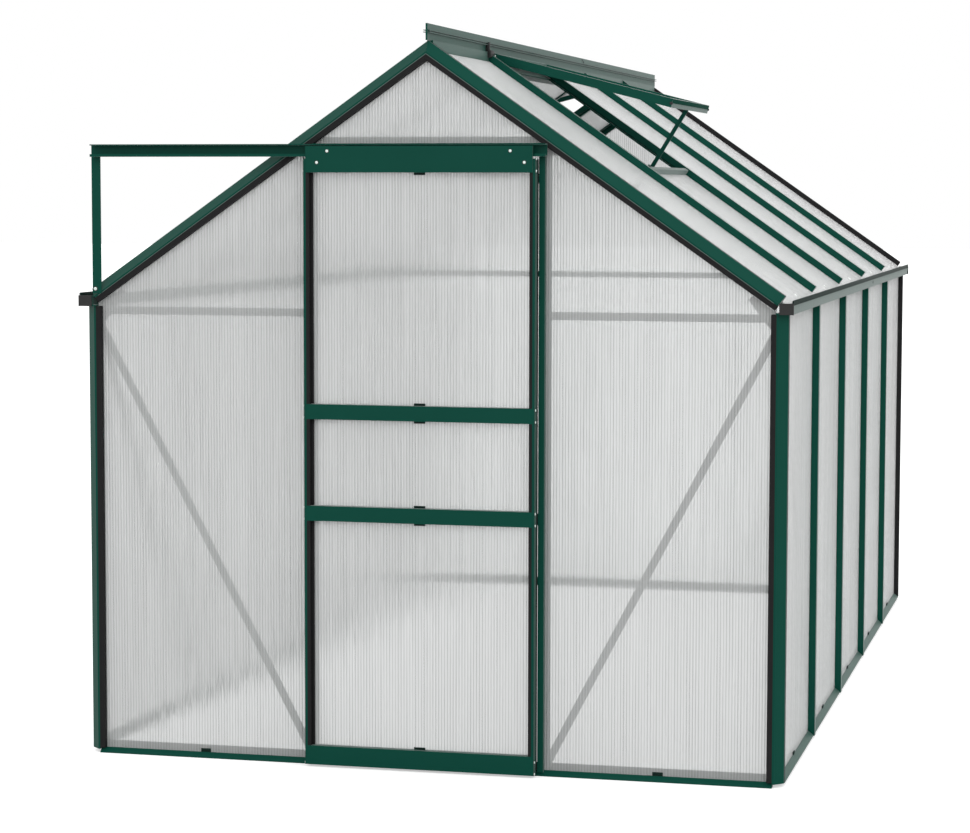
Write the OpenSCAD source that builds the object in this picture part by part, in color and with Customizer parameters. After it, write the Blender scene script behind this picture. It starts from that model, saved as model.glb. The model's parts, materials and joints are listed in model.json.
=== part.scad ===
// Walk-in greenhouse: a green aluminium frame glazed with twin-wall sheet.
// +X points to the right of someone facing the door, +Y runs from the door to the back,
// +Z is up. The origin is on the ground, at the middle of the house.

/* [House] */
// Width over the corner posts
house_w = 1900; // [1500:10:2400]
// Distance between two glazing bars along the house
bay_pitch = 675; // [560:5:800]
// Number of bays along the house
bays = 5; // [4:1:7]
// Height at which the roof line meets the outer face of the wall
eaves_h = 1260; // [1150:5:1400]
// Height at which the two roof lines meet
ridge_h = 1923; // [1860:1:2200]

/* [Frame profiles] */
// Leg of the slanted outer face of a corner profile
chamfer = 24; // [16:1:28]
// Flat lip between the slanted face and the glazing
lip = 5; // [3:1:8]
// Width of the black strip that clamps the glazing
strip_w = 14; // [10:1:20]
// Depth of the glazing behind the outer face of the frame
glazing_depth = 16; // [12:1:22]
// Thickness of a glazing sheet
sheet_t = 4; // [3:0.5:8]
// Thickness of the flanges behind the glazing
flange_t = 4; // [2.5:0.5:6]
// Width of a glazing bar
bar_w = 24; // [18:1:36]
// Distance from the lip to the edge of the sheets behind the strip
edge_inset = 2; // [1:0.5:6]
// How far a glazing bar stands out beyond the corner profiles
bar_proud = 3; // [1:1:8]
// Width of the web between two sheets
web_w = 6; // [4:1:10]

/* [Sills] */
// Thickness of the base plate of a sill
sill_base = 10; // [6:1:14]
// Height of the bottom of a sill's sloping face above its underside
sill_toe = 3; // [1:0.5:6]
// Width of the level edge behind a sill's sloping face
sill_nose = 2; // [1:0.5:4]
// Height of the top of a sill's sloping face above its underside
sill_face = 14; // [11:1:20]
// Height of the upstand behind the glazing above the underside
sill_upstand = 33; // [24:1:45]
// Height of the side sills' underside above the ground
side_lift = 8; // [2:1:10]

/* [Eaves and ridge] */
// Distance from the eaves height down to the underside of the gutters
gutter_drop = 39; // [32:1:60]
// Height of the outer wall of a gutter
gutter_wall = 26; // [18:1:32]
// How far a gutter stands out beyond the wall
gutter_out = 15; // [10:1:30]
// How far the gutter's outer wall leans out
gutter_draft = 3; // [0:0.5:8]
// Width of the gutter's flange behind the posts
gutter_toe = 6; // [3:1:12]
// Thickness of the gutter's floor and walls
gutter_t = 4; // [2.5:0.5:5]
// Distance by which a gutter runs past the gable
gutter_over = 8; // [4:1:30]
// Thickness of a gutter's end cap
cap_t = 4; // [2:1:8]
// How far a gutter's end cap stands out round the gutter
cap_rim = 1; // [0.5:0.5:3]
// How far the roof sheets run on over the gutter
sheet_overhang = 14; // [6:1:18]
// Half the thickness of the ridge bar's web
ridge_half = 8; // [5:1:14]
// Height of the ridge bar's fin above the roof line
fin_h = 44; // [30:1:70]
// Half the thickness of the fin
fin_half = 2.5; // [1.5:0.5:4]
// Height of the fin above its ribs
fin_top = 17; // [10:1:24]
// How far the fin's two ribs stand out from it on each side
rib_out = 6.5; // [4:0.5:9]
// Thickness of each rib
rib_t = 1.8; // [1.2:0.1:2.5]
// Height of the slot between the two ribs, in which the vents hang
rib_slot = 3.4; // [2:0.1:5]
// Distance from the gable in to the end of the fin
fin_inset = 7; // [0:1:20]
// Width of the flange under the upper edge of the roof sheets
ridge_flange = 26; // [16:1:50]

/* [Gable] */
// Half the clear width between the door jambs
door_clear = 302.5; // [260:0.5:330]
// Width of a jamb's outer rib
jamb_w = 16; // [12:1:24]
// Width of a jamb's flange behind the glazing
jamb_flange = 30; // [24:1:44]
// Distance from the roof line beside the doorway down to the underside of its header
header_drop = 75.72; // [60:0.01:140]
// Height of the header's outer rib
header_h = 31; // [24:1:40]
// Height of the flange above the header's rib
header_flange = 17; // [8:1:24]
// Thickness of braces and tie bars
brace_t = 3; // [2:0.5:5]
// Width of a brace
brace_w = 20; // [14:1:30]
// Distance from the tie bars down to the upper end of the braces
brace_drop = 18; // [12:1:40]
// Height of a tie bar
tie_h = 21; // [14:1:30]

/* [Door] */
// Width of the door
door_w = 624; // [560:1:680]
// Distance of the closed door's middle to the left of the doorway's middle
door_offset = 12; // [4:1:18]
// Depth of the door's frame
door_depth = 25; // [22:1:34]
// Gap between the door and the gable
door_gap = 8; // [6:1:14]
// Gap between the door and the ground
door_lift = 6.5; // [5:0.5:15]
// Width of the door stile's lip
stile_lip = 6.7; // [4:0.1:10]
// Width of the strip along the door's stiles
door_strip_w = 8.4; // [6:0.1:14]
// Height of the door's bottom rail
bottom_rail_h = 51; // [35:1:80]
// Height of a middle rail
mid_rail_h = 40; // [28:1:60]
// Height of the lower middle rail's underside
mid_rail_low = 661; // [560:1:720]
// Height of the upper middle rail's underside
mid_rail_high = 931; // [850:1:1000]
// Height of the top plate
top_plate_h = 69; // [55:1:80]
// Thickness of the top plate
top_plate_t = 3; // [2:0.5:4]

/* [Track] */
// Height of the track's profile
track_h = 33; // [28:1:36]
// Depth of the track's profile
track_d = 25; // [21:1:25]
// Distance from the header's underside down to the track's
track_drop = 3.5; // [2:0.5:8]
// Thickness of the track's walls
track_t = 3; // [2:0.5:3.5]
// Height of the lip that keeps the rollers on the track
track_lip = 4; // [2:0.5:6]
// Distance from the house's left side in to the track's left end
track_inset = 27; // [20:1:60]
// Distance from the middle of the house to the right end of the track
track_right = 325; // [315:1:400]
// Radius of a roller
roller_r = 11; // [9:0.5:12]
// Width of a roller
roller_w = 8; // [5:0.5:10]
// Radius of a roller's axle
axle_r = 3; // [2:0.5:4]
// Distance of each roller from the middle of the door
roller_x = 246; // [180:1:280]
// Gap between the rollers and the track's back
roller_gap = 5; // [3:0.5:8]
// Distance from the door's stiles up to the track, and from the track's top down to the plate's
plate_drop = 5.5; // [5:0.5:9]
// Width of the post that carries the track's left end
support_w = 25; // [18:1:36]
// How far that post stands out past the track's end
support_over = 5; // [0:1:12]
// How far the foot of that post reaches below the roof line
support_foot = 37; // [25:1:45]

/* [Roof vents] */
// Bay of the vent on the right slope, counted from the door
right_vent_bay = 2; // [1:1:4]
// Bay of the vent on the left slope, counted from the back
left_vent_bay = 2; // [1:1:4]
// Distance down the slope from the ridge line to the vent's sill
vent_sill_s = 563; // [450:1:640]
// Width of the vent's sill, measured down the slope
vent_sill_w = 12; // [8:1:20]
// Length of a vent down its slope
vent_len = 535; // [420:1:600]
// Angle by which the vents stand open
vent_angle = 20.6; // [16:0.1:26]
// Distance from the ridge line down to the open vents' upper corner
vent_drop = 1; // [0:0.5:6]
// Width of a vent frame's rails
vent_rail_w = 20; // [14:1:30]
// Depth of a vent frame's rails
vent_rail_d = 25; // [16:1:25]
// Gap between a vent's side and the glazing bar
vent_side_gap = 3; // [2:1:6]
// Depth of a vent's sheet below the frame's outer face
vent_sheet_down = 6; // [3:0.5:12]
// Width of a vent's stay
stay_w = 12; // [8:1:18]
// Width of the plate that the stay's foot stands on
stay_plate_w = 24; // [16:1:40]
// How far that plate reaches up the slope from the vent's sill
stay_reach = 50; // [36:1:70]

/* [Hidden] */

frame_green = [0.10, 0.29, 0.24];
strip_black = [0.17, 0.17, 0.17];
sheet_clear = [0.84, 0.86, 0.86];
roller_white = [0.85, 0.85, 0.82];

half_w = house_w / 2;
house_len = bays * bay_pitch;
half_len = house_len / 2;
fit = 0.3;
clearance = 1;
cut = 1;

// Depths, measured in from the outer face of a wall or down from the roof line
glass_out = glazing_depth;
glass_in = glazing_depth + sheet_t;
flange_in = glass_in + flange_t;
lip_end = chamfer + lip;
strip_end = lip_end + strip_w;
sheet_edge = lip_end + edge_inset;

// Roof: s runs down the slope from the ridge line and n points out of the roof
roof_a = atan((ridge_h - eaves_h) / half_w);
function roof_z(x, n) = ridge_h - x * tan(roof_a) + n / cos(roof_a);
function slope_s(x, n) = (x - n * sin(roof_a)) / cos(roof_a);
seat = -glass_in - fit;
gutter_inner = half_w - glass_in - clearance;
roof_end = slope_s(gutter_inner, -glass_in) - fit;
sheet_end = roof_end + sheet_overhang;
sheet_top = slope_s(ridge_half, -glass_in);
ridge_flange_end = slope_s(ridge_half + ridge_flange, -flange_in);

post_z = sill_base;
side_base = side_lift + sill_base;
gutter_z = eaves_h - gutter_drop;
tie_z = gutter_z - tie_h - clearance;
header_z = roof_z(door_clear + jamb_w, 0) - header_drop;
header_top = header_z + header_h;
header_x = door_clear + jamb_w;
back_bar_x = door_clear + jamb_w / 2;

// Corner profile: p runs along one wall from the corner and q along the other
corner_outline = [
    [chamfer, 0], [lip_end, 0], [lip_end, glass_in], [strip_end, glass_in],
    [strip_end, flange_in], [flange_in, flange_in], [flange_in, strip_end],
    [glass_in, strip_end], [glass_in, lip_end], [0, lip_end], [0, chamfer]
];

// Sill profile: q is the depth from the outer face of the wall and z the height
sill_outline = [
    [0, 0], [0, sill_toe], [glass_out - sill_nose, sill_face], [glass_out, sill_face],
    [glass_out, sill_base], [flange_in, sill_base], [flange_in, 0]
];

module front_end() {
    translate([0, -half_len, 0]) children();
}
module back_end() {
    translate([0, half_len, 0]) mirror([0, 1, 0]) children();
}
module left_half() {
    mirror([1, 0, 0]) children();
}
module both_halves() {
    children();
    left_half() children();
}
// The right roof slope, with X down the slope and Z out of the roof
module on_roof() {
    translate([0, 0, ridge_h]) rotate([0, roof_a, 0]) children();
}
// Extrudes an outline of (Y, Z) points along X
module along_x(length) {
    rotate([90, 0, 90]) linear_extrude(height = length) children();
}
// Extrudes an outline of (X, Z) points along Y
module along_y(length) {
    translate([0, length, 0]) rotate([90, 0, 0]) linear_extrude(height = length) children();
}
function bar_y(i) = -half_len + i * bay_pitch;

// Sills
module gable_sill() {
    translate([-half_w + lip_end, 0, 0]) along_x(house_w - 2 * lip_end) polygon(sill_outline);
    translate([-half_w + strip_end, glass_in, sill_base - cut])
        cube([house_w - 2 * strip_end, flange_t, sill_upstand - sill_base + cut]);
}
module side_sill() {
    length = house_len - 2 * strip_end;
    translate([half_w, -length / 2, side_lift]) mirror([1, 0, 0]) {
        along_y(length) polygon(sill_outline);
        translate([glass_in, 0, sill_base - cut])
            cube([flange_t, length, sill_upstand - sill_base + cut]);
    }
}
module front_sill() {
    color(frame_green) front_end() gable_sill();
}
module back_sill() {
    color(frame_green) back_end() gable_sill();
}
module left_sill() {
    color(frame_green) left_half() side_sill();
}
module right_sill() {
    color(frame_green) side_sill();
}

// Corner posts and rafters share one profile
module gable_posts() {
    both_halves() translate([half_w, 0, post_z]) mirror([1, 0, 0])
        linear_extrude(height = gutter_z - post_z) polygon(corner_outline);
}
module gable_rafter() {
    difference() {
        on_roof() along_x(roof_end) polygon([for (c = corner_outline) [c[1], -c[0]]]);
        translate([fit / 2 - half_w, -cut, ridge_h - house_w])
            cube([half_w, strip_end + 2 * cut, 2 * house_w]);
    }
}
module front_posts() {
    color(frame_green) front_end() gable_posts();
}
module back_posts() {
    color(frame_green) back_end() gable_posts();
}
module front_rafters() {
    color(frame_green) front_end() both_halves() gable_rafter();
}
module back_rafters() {
    color(frame_green) back_end() both_halves() gable_rafter();
}

// Ridge bar: a fin with two ribs on each side over a web, and a flange under the roof sheets
module ridge_cap_outline() {
    rib_x = fin_half + rib_out;
    rib_top = ridge_h + fin_h - fin_top;
    translate([-fin_half, ridge_h + fit]) square([2 * fin_half, fin_h - fit]);
    translate([-rib_x, rib_top - rib_t]) square([2 * rib_x, rib_t]);
    translate([-rib_x, rib_top - 2 * rib_t - rib_slot]) square([2 * rib_x, rib_t]);
}
module ridge_web_outline() {
    flange_x = ridge_half + ridge_flange;
    polygon([
        [-ridge_half, ridge_h + cut], [ridge_half, ridge_h + cut],
        [ridge_half, roof_z(ridge_half, seat)], [flange_x, roof_z(flange_x, seat)],
        [flange_x, roof_z(flange_x, -flange_in)], [0, roof_z(0, -flange_in)],
        [-flange_x, roof_z(flange_x, -flange_in)], [-flange_x, roof_z(flange_x, seat)],
        [-ridge_half, roof_z(ridge_half, seat)]
    ]);
}
module ridge_bar() {
    web_in = strip_end + fit;
    color(frame_green) {
        translate([0, -half_len + fin_inset, 0])
            along_y(house_len - 2 * fin_inset) ridge_cap_outline();
        translate([0, -half_len + web_in, 0])
            along_y(house_len - 2 * web_in) ridge_web_outline();
    }
}

// Gutters, which are the eaves beams as well
module gutter_outline() {
    lip_x = half_w + gutter_out;
    inner_x = gutter_inner;
    polygon([
        [half_w - flange_in - gutter_toe, gutter_z], [lip_x - gutter_draft, gutter_z],
        [lip_x, gutter_z + gutter_wall], [lip_x - gutter_t, gutter_z + gutter_wall],
        [lip_x - gutter_t - gutter_draft, gutter_z + gutter_t],
        [inner_x + gutter_t, gutter_z + gutter_t],
        [inner_x + gutter_t, roof_z(inner_x + gutter_t, seat)],
        [inner_x, roof_z(inner_x, seat)],
        [inner_x, gutter_z + gutter_t],
        [half_w - flange_in - gutter_toe, gutter_z + gutter_t]
    ]);
}
module gutter() {
    length = house_len + 2 * gutter_over;
    translate([0, -length / 2, 0]) along_y(length) gutter_outline();
}
module gutter_cap() {
    translate([gutter_inner, -gutter_over - cap_t, gutter_z])
        cube([half_w + gutter_out + cap_rim - gutter_inner, cap_t, gutter_wall + 3 * cap_rim]);
}
module left_gutter() {
    color(frame_green) left_half() gutter();
}
module right_gutter() {
    color(frame_green) gutter();
}
module gutter_end_caps() {
    color(strip_black) {
        front_end() both_halves() gutter_cap();
        back_end() both_halves() gutter_cap();
    }
}

// Glazing bars: an outer rib, a web between the sheets and an inner flange
module bar_outline() {
    translate([-bar_w / 2, -glass_out]) square([bar_w, glass_out + bar_proud]);
    translate([-web_w / 2, -glass_in - cut]) square([web_w, sheet_t + 2 * cut]);
    translate([-bar_w / 2, -flange_in]) square([bar_w, flange_t]);
}
module wall_bars() {
    difference() {
        for (i = [1 : bays - 1])
            translate([half_w, bar_y(i), side_lift]) rotate([0, 0, -90])
                linear_extrude(height = gutter_z - side_lift) bar_outline();
        side_sill();
    }
}
module left_of_ridge_web() {
    translate([ridge_half + fit - house_w, -house_len, 0])
        cube([house_w, 2 * house_len, 2 * ridge_h]);
}
module roof_bars() {
    difference() {
        for (i = [1 : bays - 1]) on_roof() {
            translate([ridge_flange_end, bar_y(i), 0])
                along_x(roof_end - ridge_flange_end) bar_outline();
            translate([0, bar_y(i) - bar_w / 2, -glass_out])
                cube([ridge_flange_end + cut, bar_w, glass_out + bar_proud]);
        }
        left_of_ridge_web();
    }
}
module left_wall_bars() {
    color(frame_green) left_half() wall_bars();
}
module right_wall_bars() {
    color(frame_green) wall_bars();
}
module left_roof_bars() {
    color(frame_green) left_half() roof_bars();
}
module right_roof_bars() {
    color(frame_green) roof_bars();
}

// Glazing sheets, one a bay, held between the bars
function bay_start(i) = bar_y(i) + (i == 0 ? sheet_edge : web_w / 2);
function bay_end(i) = bar_y(i + 1) - (i == bays - 1 ? sheet_edge : web_w / 2);
module wall_panels() {
    for (i = [0 : bays - 1])
        translate([half_w - glass_in, bay_start(i), side_base])
            cube([sheet_t, bay_end(i) - bay_start(i), gutter_z - side_base]);
}
module roof_panels(vent_bay) {
    for (i = [0 : bays - 1]) {
        top = i == vent_bay - 1 ? vent_sill_s + vent_sill_w : sheet_top;
        on_roof() translate([top, bay_start(i), -glass_in])
            cube([sheet_end - top, bay_end(i) - bay_start(i), sheet_t]);
    }
}
module left_wall_panels() {
    color(sheet_clear) left_half() wall_panels();
}
module right_wall_panels() {
    color(sheet_clear) wall_panels();
}
module left_roof_panels() {
    color(sheet_clear) left_half() roof_panels(bays + 1 - left_vent_bay);
}
module right_roof_panels() {
    color(sheet_clear) roof_panels(right_vent_bay);
}

// Gable sheets
gable_sheet_x = half_w - sheet_edge;
function gable_sheet_z(x) = roof_z(x, -sheet_edge);
module gable_outline() {
    polygon([
        [-gable_sheet_x, sill_base], [gable_sheet_x, sill_base],
        [gable_sheet_x, gable_sheet_z(gable_sheet_x)], [0, gable_sheet_z(0)],
        [-gable_sheet_x, gable_sheet_z(gable_sheet_x)]
    ]);
}
module front_gable_panels() {
    side_x = door_clear + jamb_w;
    color(sheet_clear) front_end() translate([0, glass_out, 0]) along_y(sheet_t) difference() {
        gable_outline();
        translate([-side_x, 0]) square([2 * side_x, header_z]);
        translate([-header_x - fit, header_z]) square([2 * (header_x + fit), header_h]);
        translate([-half_w, header_top]) square([house_w, fit]);
    }
}
module back_gable_panels() {
    color(sheet_clear) back_end() translate([0, glass_out, 0]) along_y(sheet_t) difference() {
        gable_outline();
        for (side = [-1, 1])
            translate([side * back_bar_x - web_w / 2, 0]) square([web_w, ridge_h]);
    }
}

// Everything above the inner edge of the right rafter
module over_rafter() {
    translate([0, -bar_proud - cut, 0]) on_roof()
        translate([-house_w, 0, -strip_end]) cube([2 * house_w, house_w, house_w]);
}

// Doorway
module door_jambs() {
    color(frame_green) front_end() both_halves() difference() {
        union() {
            translate([door_clear, 0, sill_base])
                cube([jamb_w, flange_in, header_z - sill_base]);
            translate([door_clear, glass_in, sill_base])
                cube([jamb_flange, flange_t, header_z - sill_base]);
        }
        gable_sill();
        over_rafter();
    }
}
module door_header() {
    function end_x(z) = (ridge_h - z - strip_end / cos(roof_a)) / tan(roof_a);
    flange_z = header_top + header_flange;
    color(frame_green) front_end() {
        translate([0, -track_t, 0]) along_y(flange_in + track_t) intersection() {
            polygon([
                [-end_x(header_z), header_z], [end_x(header_z), header_z],
                [end_x(header_top), header_top], [-end_x(header_top), header_top]
            ]);
            translate([-header_x, 0]) square([2 * header_x, ridge_h]);
        }
        translate([0, glass_in, 0]) along_y(flange_t) polygon([
            [-end_x(header_z), header_z], [end_x(header_z), header_z],
            [end_x(flange_z), flange_z], [-end_x(flange_z), flange_z]
        ]);
    }
}

// Back gable's two upright bars
module back_gable_bars() {
    color(frame_green) back_end() both_halves() difference() {
        translate([back_bar_x, 0, sill_base]) mirror([0, 1, 0])
            linear_extrude(height = ridge_h) bar_outline();
        gable_sill();
        over_rafter();
    }
}

// Ties and braces behind the gable glazing
module flat_brace(x0, z0, x1, z1) {
    length = norm([x1 - x0, z1 - z0]);
    translate([x0, flange_in, z0]) rotate([0, -atan2(z1 - z0, x1 - x0), 0])
        translate([0, 0, -brace_w / 2]) cube([length, brace_t, brace_w]);
}
module gable_tie_bars() {
    tie_x = half_w - sheet_edge;
    color(frame_green) {
        front_end() both_halves() translate([door_clear, flange_in, tie_z])
            cube([tie_x - door_clear, brace_t, tie_h]);
        back_end() translate([-tie_x, flange_in, tie_z]) cube([2 * tie_x, brace_t, tie_h]);
    }
}
module gable_brace_pair() {
    foot_x = door_clear + jamb_w;
    both_halves() difference() {
        flat_brace(foot_x, side_base, half_w - lip_end, tie_z - brace_drop);
        translate([half_w - sheet_edge, 0, 0]) cube([house_w, house_w, ridge_h]);
    }
}
module gable_braces() {
    color(frame_green) {
        front_end() gable_brace_pair();
        back_end() gable_brace_pair();
    }
}
module side_brace() {
    foot_z = side_lift + sill_upstand + brace_w / 3;
    run = bay_pitch - strip_end;
    rise = tie_z - brace_drop - foot_z;
    length = norm([run, rise]);
    translate([half_w - flange_in - brace_t, bay_pitch, foot_z]) rotate([-atan2(rise, run), 0, 0])
        translate([0, -length, -brace_w / 2]) cube([brace_t, length, brace_w]);
}
module side_braces() {
    color(frame_green) {
        front_end() both_halves() side_brace();
        back_end() both_halves() side_brace();
    }
}

// Black strips that clamp the sheets to the corner profiles
module gable_strip_set() {
    both_halves() translate([half_w - strip_end, 0, sill_face])
        cube([strip_w, glass_out, gutter_z - sill_face]);
    both_halves() difference() {
        on_roof() translate([0, 0, -strip_end]) cube([roof_end, glass_out, strip_w]);
        translate([fit / 2 - half_w, -cut, ridge_h - house_w])
            cube([half_w, glass_out + 2 * cut, 2 * house_w]);
    }
}
module side_strip_set() {
    both_halves() translate([half_w - glass_out, lip_end, post_z])
        cube([glass_out, strip_w, gutter_z - post_z]);
    both_halves() difference() {
        on_roof() translate([0, lip_end, -glass_out]) cube([roof_end, strip_w, glass_out]);
        left_of_ridge_web();
    }
}
module gable_strips() {
    color(strip_black) {
        front_end() gable_strip_set();
        back_end() gable_strip_set();
    }
}
module side_strips() {
    color(strip_black) {
        front_end() side_strip_set();
        back_end() side_strip_set();
    }
}

// Roof vents, held open on their stays. The clear part of a bay lies between its bars.
vent_pitch = roof_a - vent_angle;
vent_x = ridge_half + vent_rail_d * sin(vent_pitch) + fit;
vent_top_z = ridge_h - vent_drop;
function clear_start(bay) = bar_y(bay - 1) + (bay == 1 ? strip_end : bar_w / 2);
function clear_w(bay) = bar_y(bay) - (bay == bays ? strip_end : bar_w / 2) - clear_start(bay);
function vent_w(bay) = clear_w(bay) - 2 * vent_side_gap;
module on_vent(bay) {
    translate([vent_x, clear_start(bay) + vent_side_gap, vent_top_z])
        rotate([0, vent_pitch, 0]) children();
}
module vent_frame(bay) {
    inner = [vent_len - 2 * vent_rail_w, vent_w(bay) - 2 * vent_rail_w, 2 * vent_rail_d];
    on_vent(bay) difference() {
        translate([0, 0, -vent_rail_d]) cube([vent_len, vent_w(bay), vent_rail_d]);
        translate([vent_rail_w, vent_rail_w, -1.5 * vent_rail_d]) cube(inner);
    }
}
module vent_panel(bay) {
    on_vent(bay) translate([vent_rail_w, vent_rail_w, -vent_sheet_down - sheet_t])
        cube([vent_len - 2 * vent_rail_w, vent_w(bay) - 2 * vent_rail_w, sheet_t]);
}
module vent_sill(bay) {
    on_roof() {
        translate([vent_sill_s, clear_start(bay), -flange_in])
            cube([vent_sill_w, clear_w(bay), flange_in]);
        translate([vent_sill_s - stay_reach, bar_y(bay - 0.5) - stay_plate_w / 2,
                   -flange_in - brace_t])
            cube([stay_reach + vent_sill_w, stay_plate_w, brace_t]);
    }
}
module vent_stay(bay) {
    foot_s = vent_sill_s - stay_reach + stay_w;
    foot_x = foot_s * cos(roof_a) - flange_in * sin(roof_a);
    foot_z = ridge_h - foot_s * sin(roof_a) - flange_in * cos(roof_a);
    head_s = vent_len - vent_rail_w / 2;
    head_x = vent_x + head_s * cos(vent_pitch) - vent_rail_d * sin(vent_pitch);
    head_z = vent_top_z - head_s * sin(vent_pitch) - vent_rail_d * cos(vent_pitch);
    length = norm([head_x - foot_x, head_z - foot_z]);
    difference() {
        translate([foot_x, bar_y(bay - 0.5) - brace_t / 2, foot_z])
            rotate([0, -atan2(head_z - foot_z, head_x - foot_x), 0])
                translate([-stay_w, 0, -stay_w / 2]) cube([length + 2 * stay_w, brace_t, stay_w]);
        on_roof() translate([0, bar_y(bay - 1), -flange_in - house_w])
            cube([house_w, bay_pitch, house_w]);
        on_vent(bay) translate([0, -cut, -vent_rail_d])
            cube([2 * vent_len, bay_pitch, 2 * vent_rail_d]);
    }
}
module vent_sills() {
    color(frame_green) {
        vent_sill(right_vent_bay);
        left_half() vent_sill(bays + 1 - left_vent_bay);
    }
}
module left_vent_frame() {
    color(frame_green) left_half() vent_frame(bays + 1 - left_vent_bay);
}
module right_vent_frame() {
    color(frame_green) vent_frame(right_vent_bay);
}
module left_vent_panel() {
    color(sheet_clear) left_half() vent_panel(bays + 1 - left_vent_bay);
}
module right_vent_panel() {
    color(sheet_clear) vent_panel(right_vent_bay);
}
module vent_stays() {
    color(frame_green) {
        vent_stay(right_vent_bay);
        left_half() vent_stay(bays + 1 - left_vent_bay);
    }
}

// Track over the doorway: a channel that is open to the front
track_left = half_w - track_inset;
track_z = header_z - track_drop;
track_back = -track_t;
track_front = track_back - track_d;
module door_track() {
    color(frame_green) front_end() translate([-track_left, 0, track_z])
        along_x(track_left + track_right) polygon([
            [track_back, 0], [track_back, track_h], [track_front, track_h],
            [track_front, track_h - track_t], [track_back - track_t, track_h - track_t],
            [track_back - track_t, track_t], [track_front + track_t, track_t],
            [track_front + track_t, track_t + track_lip], [track_front, track_t + track_lip],
            [track_front, 0]
        ]);
}
module track_support() {
    foot_z = roof_z(track_left + support_over - support_w, 0) - support_foot;
    color(frame_green) front_end() translate([-track_left - support_over, -track_t, foot_z])
        cube([support_w, track_t, track_z + track_h - foot_z]);
}

// Door, closed: x runs from its left edge and q from its front face
door_front = -door_gap - door_depth;
door_left = -door_offset - door_w / 2;
stile_top = track_z - plate_drop;
plate_z = track_z + track_h - plate_drop - top_plate_h;
rail_x = stile_lip;
strip_in = stile_lip + door_strip_w;
module on_door() {
    front_end() translate([door_left, door_front, 0]) children();
}
module both_stiles() {
    children();
    translate([door_w, 0, 0]) mirror([1, 0, 0]) children();
}
module door_stiles() {
    color(frame_green) on_door() both_stiles() translate([0, 0, door_lift])
        linear_extrude(height = stile_top - door_lift) polygon([
            [0, 0], [stile_lip, 0], [stile_lip, glass_in], [strip_in, glass_in],
            [strip_in, door_depth], [0, door_depth]
        ]);
}
module door_rail(z, height) {
    translate([rail_x, 0, z]) cube([door_w - 2 * rail_x, glass_in, height]);
    translate([strip_in, glass_in - cut, z])
        cube([door_w - 2 * strip_in, door_depth - glass_in + cut, height]);
}
module door_top_rail() {
    color(frame_green) on_door() {
        door_rail(plate_z, stile_top - plate_z);
        translate([rail_x, -top_plate_t, plate_z])
            cube([door_w - 2 * rail_x, top_plate_t, top_plate_h]);
    }
}
module door_mid_rails() {
    color(frame_green) on_door() {
        door_rail(mid_rail_low, mid_rail_h);
        door_rail(mid_rail_high, mid_rail_h);
    }
}
module door_bottom_rail() {
    color(frame_green) on_door() door_rail(door_lift, bottom_rail_h);
}
pane_edges = [
    [door_lift + bottom_rail_h, mid_rail_low],
    [mid_rail_low + mid_rail_h, mid_rail_high],
    [mid_rail_high + mid_rail_h, plate_z]
];
module door_panels() {
    color(sheet_clear) on_door() for (e = pane_edges)
        translate([stile_lip, glass_out, e[0]])
            cube([door_w - 2 * stile_lip, sheet_t, e[1] - e[0]]);
}
module door_strips() {
    color(strip_black) on_door() both_stiles() for (e = pane_edges)
        translate([stile_lip, 0, e[0]]) cube([door_strip_w, glass_out, e[1] - e[0]]);
}
// Rollers that run on the track's floor, each on an axle held by the top plate
module door_rollers() {
    axle_z = track_z + track_t + fit + roller_r;
    roller_back = track_back - track_t - roller_gap;
    color(roller_white) front_end() for (side = [-1, 1])
        translate([door_left + door_w / 2 + side * roller_x, roller_back, axle_z])
            rotate([90, 0, 0]) {
                cylinder(r = roller_r, h = roller_w, $fn = 48);
                cylinder(r = axle_r, h = roller_back - door_front, $fn = 32);
            }
}

front_sill();
back_sill();
left_sill();
right_sill();
front_posts();
back_posts();
front_rafters();
back_rafters();
ridge_bar();
left_gutter();
right_gutter();
gutter_end_caps();
left_wall_bars();
right_wall_bars();
left_roof_bars();
right_roof_bars();
left_wall_panels();
right_wall_panels();
left_roof_panels();
right_roof_panels();
front_gable_panels();
back_gable_panels();
door_jambs();
door_header();
back_gable_bars();
gable_tie_bars();
gable_braces();
side_braces();
gable_strips();
side_strips();
vent_sills();
left_vent_frame();
right_vent_frame();
left_vent_panel();
right_vent_panel();
vent_stays();
door_track();
track_support();
door_stiles();
door_top_rail();
door_mid_rails();
door_bottom_rail();
door_panels();
door_strips();
door_rollers();
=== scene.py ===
# %% [markdown]
# # A walk-in greenhouse with twin-wall sheets
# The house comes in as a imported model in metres: green metal bars, pale hollow sheets
# between them and a sliding door in the front gable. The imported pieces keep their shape.
# Each cell below gives some of them a finish, or adds the small parts that sit on them,
# and every place is worked out from pieces that are already there. The fittings could
# be placed by eye too, but then each of them would be wrong as soon as a bar moves.

# %% Load the frame
import json
import math

import bmesh
import bpy
from mathutils import Matrix, Vector


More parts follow.
